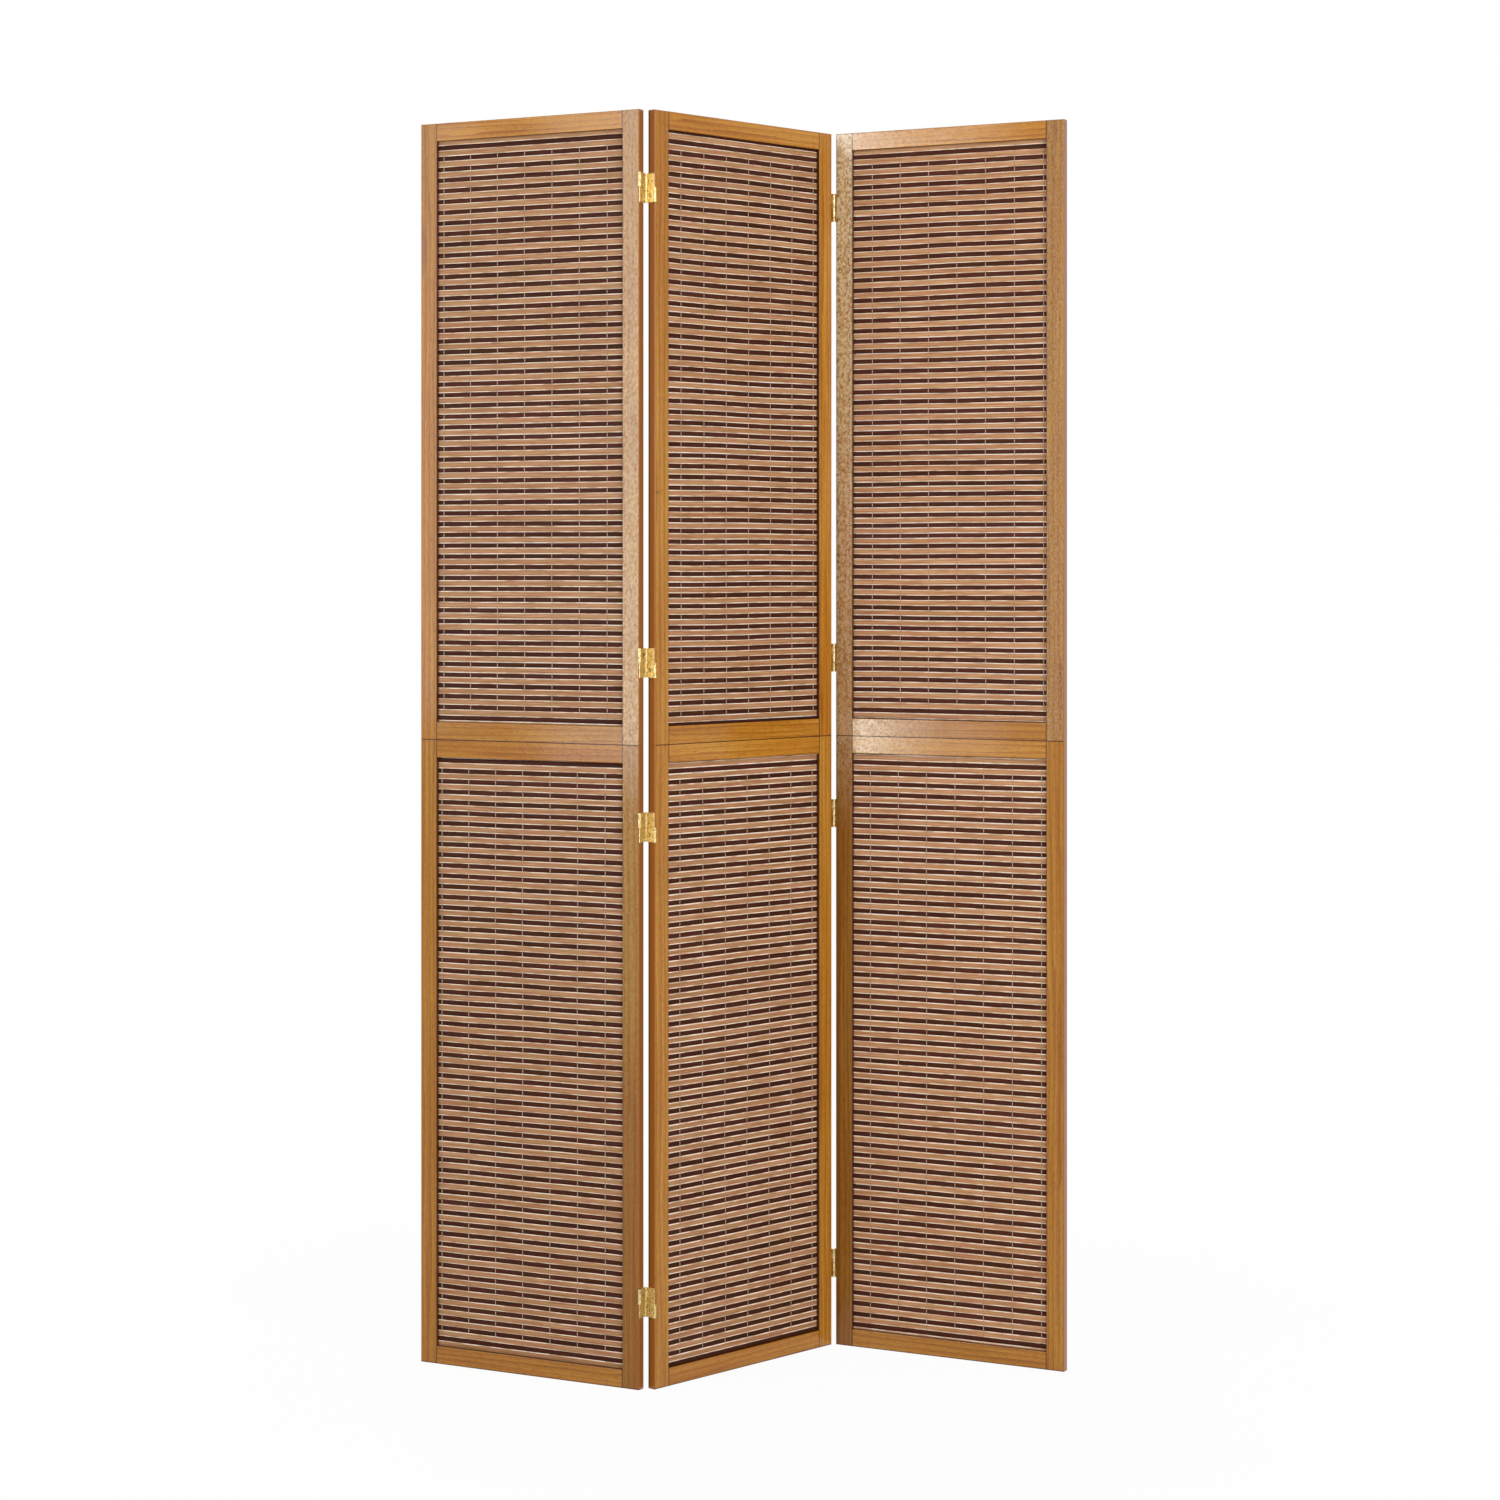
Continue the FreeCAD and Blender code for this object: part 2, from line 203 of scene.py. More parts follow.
def grain_colour(tree, turn, grain, tone, start):
    """Honey-coloured wood, streaked, figured and ringed along its grain."""
    colours = {}
    for name, (wide, long, detail, distortion, shades) in GRAIN.items():
        noise = add(tree, "ShaderNodeTexNoise", {
            "Vector": stretched(tree, turn, along_grain(grain, wide, long), start),
            "Scale": 1.0, "Detail": detail, "Distortion": distortion})
        own_tone = 1.0 if name == "pore" else tone
        colours[name] = add(tree, "ShaderNodeValToRGB", {"Fac": noise.outputs["Fac"]}, stops=[
            (stop, linear(shade, own_tone)) for stop, shade in zip(GRAIN_STOPS, shades)]).outputs["Color"]
    rings = add(tree, "ShaderNodeTexWave", {
        "Vector": stretched(tree, turn, along_grain(grain, *RING_MM), start), "Scale": RING_SCALE, **RING_WARP},
        bands_direction="Z" if grain == "X" else "X", wave_profile="SAW")
    ringed = add(tree, "ShaderNodeValToRGB", {"Fac": rings.outputs["Fac"]}, stops=[
        (stop, linear(shade)) for stop, shade in RING_STOPS]).outputs["Color"]
    colour = colours["streak"]
    layers = ((FIGURE_SHARE, "MIX", colours["figure"]), (DRIFT_SHARE, "MIX", colours["drift"]),
              (1.0, "MULTIPLY", ringed), (1.0, "MULTIPLY", colours["pore"]))
    for share, blend, other in layers:
        colour = add(tree, "ShaderNodeMix", {"Factor": share, "A": colour, "B": other},
                     data_type="RGBA", blend_type=blend).outputs["Result"]
    return colour


# %% [markdown]
# Shade is painted into the wood along its edges. The walls inside the openings are painted a dark red-brown
# as the shade deep in the recess, and the outer edges are painted a little redder and darker than the faces as
# the shade in the gaps between the panels, darkest towards the back. A thin dark line marks each joint and the
# foot, where the wood stands on the floor; along the seam it is partly dirt and partly painted shadow of a gap.
# All of these are bands at a distance from the stick's own edges, measured on its CAD shape.

# %% Painted shade and dark lines along the edges
# Band colours: painted shade for the walls inside the openings and for the outer edges; dark lines for the
# joints and the foot, and painted shadow along the seam and the back of the outer edges.
WALL_PAINTED_SHADE, EDGE_PAINTED_SHADE, LINE_STAIN_AND_SHADE = "#3e1a07", "#96581e", "#3a1d08"
WALL_FADE_MM = {"stile": (0.4, 1.5), "rail": (0.2, 0.8)}
EDGE_FADE_MM = (0.4, 2.0)
LINE_FADE_MM = (0.45, 1.1)
BACK_FADE_MM = (6.5, 3.0)
FOOT_FADE_MM = (0.6, 2.8)
SHADE_AND_STAIN_STRENGTH = 0.92


def edge_shade_and_stains(node, panel, stick):
    """Bands on a stick: the colour of each, and by each measure where it is full and where it ends, in mm."""
    points = node_points(node, panel) / MM
    side, height = np.abs(points[:, 0]), points[:, 2]
    full, end = WALL_FADE_MM[stick.split("_")[1]]
    # The seam line is partly dirt and partly painted shadow of a gap; the foot line darkens the wood along the
    # floor.
    bands = [(LINE_STAIN_AND_SHADE, {"seam": LINE_FADE_MM}), (LINE_STAIN_AND_SHADE, {"height": FOOT_FADE_MM})]
    if "stile" in stick:
        inner, outer = side.min(), side.max()
        edge = (outer - EDGE_FADE_MM[0], outer - EDGE_FADE_MM[1])
        # Painted shade: the wall inside the opening is darkened as the shade in the recess.
        bands.append((WALL_PAINTED_SHADE, {"side": (inner + full, inner + end)}))
        # Painted shade: the outer edge is darkened as the shade in the gap between panels.
        bands.append((EDGE_PAINTED_SHADE, {"side": edge}))
        # Painted shade: the back of the outer edge is darkened further.
        bands.append((LINE_STAIN_AND_SHADE, {"side": edge, "depth": BACK_FADE_MM}))
    else:
        inner, away = (height.max(), -1) if stick == "bottom_rail" else (height.min(), 1)
        # Painted shade: the rail's face towards the opening is darkened as the shade under and beside the rail.
        bands.append((WALL_PAINTED_SHADE, {"height": (inner + away * full, inner + away * end)}))
        bands.append((LINE_STAIN_AND_SHADE, {"side": (side.max() - LINE_FADE_MM[0] / 2, side.max() - LINE_FADE_MM[1])}))
    return bands


def with_shade_and_stains(tree, colour, bands, measures):
    """Wood colour with the bands of painted shade and dark lines drawn in."""
    for mark_colour, limits in bands:
        share = SHADE_AND_STAIN_STRENGTH
        for measure, (full, end) in limits.items():
            share = add(tree, "ShaderNodeMapRange", {
                "Value": measures[measure], "From Min": full, "From Max": end,
                "To Min": share, "To Max": 0.0}).outputs["Result"]
        colour = add(tree, "ShaderNodeMix", {"Factor": share, "A": colour, "B": linear(mark_colour)},
                     data_type="RGBA").outputs["Result"]
    return colour


# %% [markdown]
# Two boards have marks that a joiner would remember: a small knot near the edge of the middle panel's upper
# stile, and a brown streak at the edge of the left panel's. The right panel's left stiles are darker along
# their outer edge. Each mark is a soft oval that goes right through its board.

# %% Knots: place along the panel and height in mm, half width and half height in mm, colour and strength
KNOTS = {
    "middle_upper_left_stile": [
        (-195.0, 1402.0, 4.5, 2.6, "#4c2408", 0.9), (-188.0, 1404.0, 9.0, 1.0, "#8a5514", 0.6),
        (-189.0, 1398.5, 8.0, 0.8, "#8a5514", 0.5), (-190.0, 1402.0, 12.0, 7.0, "#a4701e", 0.5)],
    "left_upper_left_stile": [
        (-197.0, 1800.0, 9.0, 46.0, "#8a4f26", 0.7), (-190.5, 1800.0, 2.0, 30.0, "#7d4a1a", 0.6)],
    "right_lower_left_stile": [(-200.0, 500.0, 10.0, 2000.0, "#5e3804", 0.55)],
    "right_upper_left_stile": [(-200.0, 1500.0, 9.0, 2000.0, "#5e3804", 0.55)],
}
KNOT_FADE = (0.5, 1.2)
THROUGH_MM = 100000.0


def with_knots(tree, colour, node, panel):
    """Wood colour with the knots of one stick drawn in."""
    turn, place = panel_frames[panel]
    for x, z, wide, high, mark_colour, strength in KNOTS.get(node, []):
        centre = place @ Vector((x * MM, 0, z * MM))
        away = add(tree, "ShaderNodeVectorMath", {
            0: stretched(tree, turn, (wide, THROUGH_MM, high), centre)}, operation="LENGTH")
        share = add(tree, "ShaderNodeMapRange", {
            "Value": away.outputs["Value"], "From Min": KNOT_FADE[0], "From Max": KNOT_FADE[1],
            "To Min": strength, "To Max": 0.0}).outputs["Result"]
        colour = add(tree, "ShaderNodeMix", {"Factor": share, "A": colour, "B": linear(mark_colour)},
                     data_type="RGBA").outputs["Result"]
    return colour


# %% [markdown]
# The varnish film dries flat with small dimples, like orange peel, which break up a gleam. The noise is cut off
# above and below, so that it is flat between. The glare of the left lamps on that dimpled film is painted into
# the colour as pale specks, with none between them, so those sticks look speckled. It is densest on the right
# panel, at one end of its rails and on the upper stiles, and on the left panel beside the seam. It thins out
# along the sticks and towards the back. The specks are drawn somewhat larger than they are, to show at this
# distance.

# %% Painted glare on the varnish: measure, where it is densest and where it ends in mm, and its share there
GLARE_SPECK_MM = (3.6, 4.6)
PAINTED_GLARE = "#e2cca4"
GLARE_SPECK_RANGE = (0.32, 0.62)
GLARE_DEPTH_MM = 5.0
PAINTED_GLARES = {
    "right_upper_left_stile": ("height", 2000, 600, 0.8),
    "right_lower_left_stile": ("height", 1006, 850, 0.25),
    "right_upper_bottom_rail": ("along", -172, -5, 0.8),
    "right_lower_top_rail": ("along", -172, -5, 0.8),
    "right_upper_top_rail": ("along", -172, 150, 0.42),
    "right_upper_right_stile": ("height", 1000, 5000, 0.21),
    "left_upper_right_stile": ("height", 1000, 2700, 0.45),
    "left_lower_right_stile": ("height", 1006, 100, 0.13),
}


def with_painted_glare(tree, colour, glare, measures, pattern_place):
    """Wood colour with pale specks of painted glare over it."""
    measure, densest, ends, strength = glare
    speck_noise = add(tree, "ShaderNodeTexNoise", {"Vector": pattern_place, "Scale": 1.0, "Detail": 3.0})
    front = add(tree, "ShaderNodeMapRange", {
        "Value": measures["depth"], "From Min": 0.0, "From Max": GLARE_DEPTH_MM,
        "To Min": strength, "To Max": 0.0})
    thick = add(tree, "ShaderNodeMapRange", {
        "Value": measures[measure], "From Min": densest, "From Max": ends,
        "To Min": front.outputs["Result"], "To Max": 0.0})
    share = add(tree, "ShaderNodeMapRange", {
        "Value": speck_noise.outputs["Fac"], "From Min": GLARE_SPECK_RANGE[0], "From Max": GLARE_SPECK_RANGE[1],
        "To Max": thick.outputs["Result"]}).outputs["Result"]
    # Painted glare: pale specks mixed into the wood colour.
    return add(tree, "ShaderNodeMix", {"Factor": share, "A": colour, "B": linear(PAINTED_GLARE)},
               data_type="RGBA").outputs["Result"]


# %% Places on a stick
def measured(tree, panel):
    """Where a point of a stick is in its panel, in mm, by each measure that the painted shade, lines and glare
    use.
    """
    turn, place = panel_frames[panel]
    own = add(tree, "ShaderNodeSeparateXYZ", {
        "Vector": stretched(tree, turn, (1, 1, 1), place.translation)}).outputs
    side = add(tree, "ShaderNodeMath", {0: own["X"]}, operation="ABSOLUTE").outputs[0]
    above = add(tree, "ShaderNodeMath", {0: own["Z"], 1: SEAM_HEIGHT / MM}, operation="SUBTRACT").outputs[0]
    seam = add(tree, "ShaderNodeMath", {0: above}, operation="ABSOLUTE").outputs[0]
    return {"side": side, "height": own["Z"], "seam": seam, "depth": own["Y"], "along": own["X"]}


# %% Frame wood
VARNISH = {"Roughness": 0.1, "Specular IOR Level": 0.34, "IOR": 1.5}
PEEL_MM = (3.4, 4.6)
PEEL_RANGE = (0.34, 0.5)
PEEL_DEPTH_MM = 0.05


def varnished_wood(node, panel, stick, tone, start):
    """Honey-varnished pine: glossy, streaked along the grain, with dark lines and painted shade at its edges,
    and painted glare on some sticks.
    """
    material, tree, shader = new_material(f"honey_varnished_pine_{node}", VARNISH)
    turn = panel_frames[panel][0]
    grain = "X" if "rail" in stick else "Z"
    measures = measured(tree, panel)
    colour = grain_colour(tree, turn, grain, tone, start)
    colour = with_knots(tree, colour, node, panel)
    if node in PAINTED_GLARES:
        glare_specks = stretched(tree, turn, along_grain(grain, *GLARE_SPECK_MM), start)
        colour = with_painted_glare(tree, colour, PAINTED_GLARES[node], measures, glare_specks)
    colour = with_shade_and_stains(tree, colour, edge_shade_and_stains(node, panel, stick), measures)
    tree.links.new(colour, shader.inputs["Base Color"])
    peel = add(tree, "ShaderNodeTexNoise", {
        "Vector": stretched(tree, turn, along_grain(grain, *PEEL_MM), start), "Scale": 1.0, "Detail": 1.0})
    dimples = add(tree, "ShaderNodeMapRange", {
        "Value": peel.outputs["Fac"], "From Min": PEEL_RANGE[0], "From Max": PEEL_RANGE[1]})
    film = add(tree, "ShaderNodeBump", {
        "Height": dimples.outputs["Result"], "Strength": 1.0, "Distance": PEEL_DEPTH_MM * MM})
    tree.links.new(film.outputs["Normal"], shader.inputs["Normal"])
    return material


# %% [markdown]
# The tones below are what tells one stick from its neighbour: rails are cut from lighter boards than stiles,
# some boards are paler and some redder and darker, and the right panel's lower left stile is darkened as
# painted shade. A seeded draw shifts every stick a little more, and each stick starts at another place in the
# patterns.

# %% Dress the frames
STICK_TONES = {"left_stile": 1.0, "right_stile": 0.98, "bottom_rail": 1.02, "top_rail": 1.08}
PANEL_TONES = {"left": 1.02, "middle": 1.1, "right": 1.03}
# Painted shade: the right panel's lower left stile gets a low tone for the shade of the middle panel.
BOARD_TONES_AND_SHADE = {
    "left_lower_left_stile": 0.95, "left_lower_right_stile": 0.78, "left_upper_left_stile": 1.05,
    "left_upper_right_stile": 0.88, "left_upper_top_rail": 1.06, "middle_lower_left_stile": 0.97,
    "middle_lower_right_stile": 1.05, "middle_upper_right_stile": 1.12, "right_lower_left_stile": 0.68,
    "right_upper_left_stile": 0.88, "right_upper_right_stile": 0.92, "right_upper_top_rail": 1.24,
}
BOARD_SPREAD = (0.96, 1.04)
PATTERN_STEP = (0.37, 0.23, 0.71)
BOARD_SEED = 7
boards = np.random.default_rng(BOARD_SEED)
sticks = 0
for panel in PANELS:
    for tier in TIERS:
        for stick, tone in STICK_TONES.items():
            sticks += 1
            node = f"{panel}_{tier}_{stick}"
            tone *= PANEL_TONES[panel] * BOARD_TONES_AND_SHADE.get(node, 1.0) * boards.uniform(*BOARD_SPREAD)
            dress(node, varnished_wood(node, panel, stick, tone, [step * sticks for step in PATTERN_STEP]))
print("Sticks dressed:", sticks)

# %% [markdown]
# ## Brass, and the hidden wood
# The hinges are stamped from polished brass sheet, which dulls with handling: it still reflects the pale room
# in warm yellow, but softly, so no lamp is mirrored sharply, and it has cloudy patches that are duller yet. The
# dowels inside the joints are plain beech; they never show, but they are pieces like any other.


# %% Brass and beech
BRASS_CLOUD_MM = (3.0, 3.0, 3.0)
BRASS_STOPS = ((0.3, "#86703c"), (0.46, "#d4ba7c"), (0.7, "#eed9a4"))
BRASS_ROUGHNESS = (0.58, 0.4)
BEECH_FLECK_MM = (1.0, 1.0, 6.0)
BEECH_STOPS = ((0.35, "#b98d62"), (0.65, "#d3ac80"))


def hinge_brass():
    """Polished brass, dulled by handling, with cloudy patches."""
    material, tree, shader = new_material("polished_brass", {"Metallic": 1.0})
    cloud = add(tree, "ShaderNodeTexNoise", {
        "Vector": stretched(tree, 0, BRASS_CLOUD_MM), "Scale": 1.0, "Detail": 3.0})
    colour = add(tree, "ShaderNodeValToRGB", {"Fac": cloud.outputs["Fac"]}, stops=[
        (stop, linear(shade)) for stop, shade in BRASS_STOPS])
    rough = add(tree, "ShaderNodeMapRange", {
        "Value": cloud.outputs["Fac"], "From Min": BRASS_STOPS[0][0], "From Max": BRASS_STOPS[-1][0],
        "To Min": BRASS_ROUGHNESS[0], "To Max": BRASS_ROUGHNESS[1]})
    tree.links.new(colour.outputs["Color"], shader.inputs["Base Color"])
    tree.links.new(rough.outputs["Result"], shader.inputs["Roughness"])
    return material


def plain_beech():
    """Unfinished beech, pale with short flecks."""
    material, tree, shader = new_material("plain_beech", {"Roughness": 0.6})
    fleck = add(tree, "ShaderNodeTexNoise", {
        "Vector": stretched(tree, 0, BEECH_FLECK_MM), "Scale": 1.0, "Detail": 2.0})
    colour = add(tree, "ShaderNodeValToRGB", {"Fac": fleck.outputs["Fac"]}, stops=[
        (stop, linear(shade)) for stop, shade in BEECH_STOPS])
    tree.links.new(colour.outputs["Color"], shader.inputs["Base Color"])
    return material


brass, beech = hinge_brass(), plain_beech()
HARDWARE = ("hinge_leaves", "hinge_screws", "links", "pins", "pin_ends")
for node in frame["nodes"]:
    if node.endswith("_dowels"):
        dress(node, beech)
    elif node.endswith(HARDWARE):
        dress(node, brass)
print("Brass nodes:", sum(node.endswith(HARDWARE) for node in frame["nodes"]))

# %% [markdown]
# ## Slat wood
# The slats are thin strips of soft tropical wood: wide ones left light and narrow ones stained dark brown.
# They are sawn, not planed. The long edges of the light ones are pale, partly from broken fibres and partly
# as painted highlight, and the edges of the narrow ones are painted darker as shade. Every strip comes from
# another piece of wood: some are tan, some pink, some olive. Each slat therefore carries its own tone as an
# attribute of its mesh, and a second attribute runs from 0 on its faces to 1 at its edges.

# %% Looks of the slats: patterns as size in mm and detail, and colours
SLAT_PATTERNS = {
    "blotch": ((48.0, 7.0, 7.0), 2.0),
    "fibre": ((60.0, 0.9, 0.9), 3.0),
    "ragged": ((26.0, 3.0, 3.0), 2.0),
}
BLOTCH_STOPS = (0.35, 0.5, 0.65)
BLOTCH_SHARE = 0.36
FIBRE_STOPS = ((0.32, "#c8b8a8"), (0.62, "#ffffff"))
FIBRE_BUMP = {"Strength": 0.6, "Distance": 0.05 * MM}
RAGGED_RANGE = (0.38, 0.58)
EDGE_RANGE = (0.1, 0.45)
# Light slats' edge colour: pale fibres and painted highlight.
LIGHT = {"tones": ("#b4835b", "#be8d65", "#c89a72", "#ba8b66"), "blotches": ("#a5824e", "#ba8f69", "#b07353"),
         "edge": "#ffe9d2", "edge_highlight_and_shade": (0.25, 1.0), "finish": {"Roughness": 0.55, "Specular IOR Level": 0.16}}
# Dark slats' edge colour: painted shade.
DARK = {"tones": ("#412218", "#4e291e", "#442815", "#582f25"), "blotches": ("#3e2513", "#4f2a1e", "#5d2d22"),
        "edge": "#1c0c07", "edge_highlight_and_shade": (0.6, 0.8), "finish": {"Roughness": 0.55, "Specular IOR Level": 0.06}}
SLAT_TONES = {"left": 0.95, "middle": 0.96, "right": 1.12}


# %% Material of one panel's light or dark slats
def slat_wood(panel, kind, look):
    """Sawn slat wood: a tone for each slat, blotches and fibres along it, and edges painted paler on light
    slats as highlight and darker on dark ones as shade.
    """
    material, tree, shader = new_material(f"sawn_{kind}_slat_wood_{panel}", look["finish"])
    turn, tone = panel_frames[panel][0], SLAT_TONES[panel]
    own_tone = add(tree, "ShaderNodeAttribute", attribute_name="slat_tone").outputs["Fac"]
    own_edge = add(tree, "ShaderNodeAttribute", attribute_name="slat_edge").outputs["Fac"]
    noise = {}
    for pattern, (sizes, detail) in SLAT_PATTERNS.items():
        noise[pattern] = add(tree, "ShaderNodeTexNoise", {
            "Vector": stretched(tree, turn, sizes), "Scale": 1.0, "Detail": detail}).outputs["Fac"]
    last = len(look["tones"]) - 1
    colour = add(tree, "ShaderNodeValToRGB", {"Fac": own_tone}, stops=[
        (i / last, linear(shade, tone)) for i, shade in enumerate(look["tones"])]).outputs["Color"]
    blotch = add(tree, "ShaderNodeValToRGB", {"Fac": noise["blotch"]}, stops=[
        (stop, linear(shade, tone)) for stop, shade in zip(BLOTCH_STOPS, look["blotches"])]).outputs["Color"]
    fibres = add(tree, "ShaderNodeValToRGB", {"Fac": noise["fibre"]}, stops=[
        (stop, linear(shade)) for stop, shade in FIBRE_STOPS]).outputs["Color"]
    ragged = add(tree, "ShaderNodeMapRange", {
        "Value": noise["ragged"], "From Min": RAGGED_RANGE[0], "From Max": RAGGED_RANGE[1],
        "To Min": look["edge_highlight_and_shade"][0], "To Max": look["edge_highlight_and_shade"][1]}).outputs["Result"]
    reach = add(tree, "ShaderNodeMapRange", {
        "Value": own_edge, "From Min": EDGE_RANGE[0], "From Max": EDGE_RANGE[1]}).outputs["Result"]
    edge_highlight_and_shade = add(tree, "ShaderNodeMath", {0: ragged, 1: reach}, operation="MULTIPLY").outputs[0]
    for share, blend, other in ((BLOTCH_SHARE, "MIX", blotch), (1.0, "MULTIPLY", fibres),
                                (edge_highlight_and_shade, "MIX", linear(look["edge"]))):
        colour = add(tree, "ShaderNodeMix", {"Factor": share, "A": colour, "B": other},
                     data_type="RGBA", blend_type=blend).outputs["Result"]
    tree.links.new(colour, shader.inputs["Base Color"])
    bump = add(tree, "ShaderNodeBump", {"Height": noise["fibre"], **FIBRE_BUMP})
    tree.links.new(bump.outputs["Normal"], shader.inputs["Normal"])
    return material


slat_woods = {}
for panel in PANELS:
    for kind, look in (("light", LIGHT), ("dark", DARK)):
        slat_woods[panel, kind] = slat_wood(panel, kind, look)
print("Slat woods:", [wood.name for wood in slat_woods.values()])

# %% [markdown]
# ## Woven mats
# A mat is a stack of slats held by threads. It hangs a little unevenly: the whole weave sags and leans in
# slow waves, which its slats share, while each slat also has a slight bow and thickness of its own. One slat
# is modelled as a stick with eased edges, cut across so that it can bow, and an Array modifier stacks it.
# Then the copies are given their own shape, in code, because a hundred slats can't be nudged by hand.

# %% Mesh helpers
def deselect():
    """Nothing selected, so that an operator acts on the next new piece alone."""
    bpy.ops.object.select_all(action="DESELECT")


def pick_edges(piece, test):
    """In edit mode, select only the edges that pass a test."""
    bpy.ops.mesh.select_mode(type="EDGE")
    bpy.ops.mesh.select_all(action="DESELECT")
    mesh = bmesh.from_edit_mesh(piece.data)
    for edge in mesh.edges:
        edge.select_set(test(edge))
    bmesh.update_edit_mesh(piece.data)


def runs_along(edge, axis):
    """True for an edge that is parallel to an axis of the piece."""
    start, end = (vertex.co for vertex in edge.verts)
    return all(abs(end[i] - start[i]) < TINY for i in range(3) if i != axis)


def stack(piece, count, step):
    """Repeat a piece in a row, with an Array modifier that is then applied."""
    bpy.ops.object.modifier_add(type="ARRAY")
    row = piece.modifiers[-1]
    row.count = count
    row.use_relative_offset = False
    row.use_constant_offset = True
    row.constant_offset_displace = step
    bpy.ops.object.modifier_apply(modifier=row.name)


def set_points(piece, points):
    """Move a mesh's vertices."""
    piece.data.vertices.foreach_set("co", points.reshape(-1))
    piece.data.update()


def mark(piece, name, values):
    """Store one number for each vertex as an attribute."""
    attribute = piece.data.attributes.new(name, "FLOAT", "POINT")
    attribute.data.foreach_set("value", np.asarray(values, dtype=np.float32))


# %% One slat
SLAT_CUTS = 5


def new_slat(name, size, ease, deep):
    """A slat at the origin: a stick with its long edges worn, cut across so that it can bow."""
    deselect()
    bpy.ops.mesh.primitive_cube_add(size=1)
    slat = bpy.context.object
    slat.name = name
    bpy.ops.object.mode_set(mode="EDIT")
    bpy.ops.transform.resize(value=size)
    pick_edges(slat, lambda edge: runs_along(edge, 0))
    bpy.ops.mesh.subdivide(number_cuts=SLAT_CUTS)
    pick_edges(slat, lambda edge: runs_along(edge, 0))
    bpy.ops.mesh.bevel(offset=deep, segments=1, affect="EDGES")
    face = size[1] / 2 - TINY
    pick_edges(slat, lambda edge: runs_along(edge, 0) and all(abs(vertex.co.y) > face for vertex in edge.verts))
    bpy.ops.transform.resize(value=(1, 1, (size[2] / 2 - ease) / (size[2] / 2 - deep)))
    bpy.ops.object.mode_set(mode="OBJECT")
    return slat


# %% [markdown]
# The slats' heights are read from the CAD slats: each has four levels of vertices, at its foot, the two ends
# of its eased edges and its top. The opening of the frame comes from the stiles and rails round it.

# %% Where the slats lie
LEVELS_PER_SLAT = 4
SAME_MM = 0.05
HAIR_MM = 0.17
DARK_SPREAD_MM = 0.6


def distinct(values):
    """Values in order, those that are the same within a hair counted once."""
    ordered = np.sort(values)
    breaks = np.flatnonzero(np.diff(ordered) > SAME_MM * MM) + 1
    return np.array([group.mean() for group in np.split(ordered, breaks)])


def slat_levels(node):
    """Middle height of each slat in a CAD node, from the foot up."""
    return distinct(points_of(frame["nodes"][node])[:, 2]).reshape(-1, LEVELS_PER_SLAT).mean(axis=1)


def half_heights(panel, tier):
    """Half the height of a mat's slats: the dark ones swell a little and the light ones fill what is left."""
    node = f"{panel}_{tier}_dark_slats"
    levels = slat_levels(node)
    dark = points_of(frame["nodes"][node])[:, 2].max() - levels[-1] + DARK_SPREAD_MM * MM
    return {"dark": dark, "light": (levels[1] - levels[0]) / 2 - dark - HAIR_MM * MM}


def opening_heights(panel, tier):
    """Lower and upper edge of a frame's opening."""
    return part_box(f"{panel}_{tier}_bottom_rail")[1][2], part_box(f"{panel}_{tier}_top_rail")[0][2]


for panel in PANELS:
    for tier in TIERS:
        print(panel, tier, [len(slat_levels(f"{panel}_{tier}_{kind}_slats")) for kind in ("light", "dark")],
              "light and dark slats in", [round(z, 4) for z in opening_heights(panel, tier)])

# %% [markdown]
# The weave's slow waves are a few sine waves with seeded phases. They die out towards the rails, where the
# grooves hold the mat, and the belly through the mat dies out towards the stiles as well.

# %% Slow waves of a mat
WAVES = 4
SWAY_MM = 0.3
BELLY_MM = 0.6
HELD_MM = 70.0
LONG_WAVE_MM = (160.0, 620.0)


def mat_waves(panel, tier):
    """Function that moves points of a mat, in its panel's frame, by the weave's slow waves."""
    rng = np.random.default_rng(100 * PANELS.index(panel) + TIERS.index(tier))
    low, high = opening_heights(panel, tier)
    half = node_points(f"{panel}_{tier}_top_rail", panel)[:, 0].max()
    waves = [(rng.uniform(-1, 1), rng.uniform(*LONG_WAVE_MM) * MM, rng.uniform(*LONG_WAVE_MM) * MM,
              rng.uniform(0, 2 * math.pi)) for _ in range(2 * WAVES)]

    def total(some, x, z):
        """Sum of some waves."""
        return sum(size * np.sin(2 * math.pi * (x / across + z / up) + phase)
                   for size, across, up, phase in some)

    def moved(points):
        """Points after the weave has swayed and bellied."""
        x, z = points[:, 0], points[:, 2]
        near_rail = np.clip(np.minimum(z - low, high - z) / (HELD_MM * MM), 0, 1)
        near_stile = np.clip(1 - (x / half) ** 2, 0, 1)
        out = points.copy()
        out[:, 2] += SWAY_MM * MM * near_rail * total(waves[:WAVES], x, z)
        out[:, 1] += BELLY_MM * MM * near_rail * near_stile * total(waves[WAVES:], x, z)
        return out

    return moved


# %% [markdown]
# Each slat now gets its own height, bow and tone. The weave presses the slats together, so they spread until
# only a hair is left between neighbours, and the small differences open a gap here, where the light comes
# through, and close it there. The light slats of two lower mats were sawn more roughly, so their eased edges
# are broader and their pale edges, partly painted highlight, reach further in.

# %% The slats of one mat
HEIGHT_SPREAD_MM = 0.22
BOW_MM = 0.16
LEAN_MM = 0.14
DEPTH_SPREAD_MM = 0.12
BOW_WAVE_MM = (150.0, 420.0)
EASE_DEPTH_MM = {"light": 0.5, "dark": 0.45}
EASE_HEIGHT_MM = {"light": 1.5, "dark": 1.0}
ROUGH_HEIGHT_MM = {"middle_lower_light_slats": 2.1, "right_lower_light_slats": 2.1}
SLAT_SEED = 1000


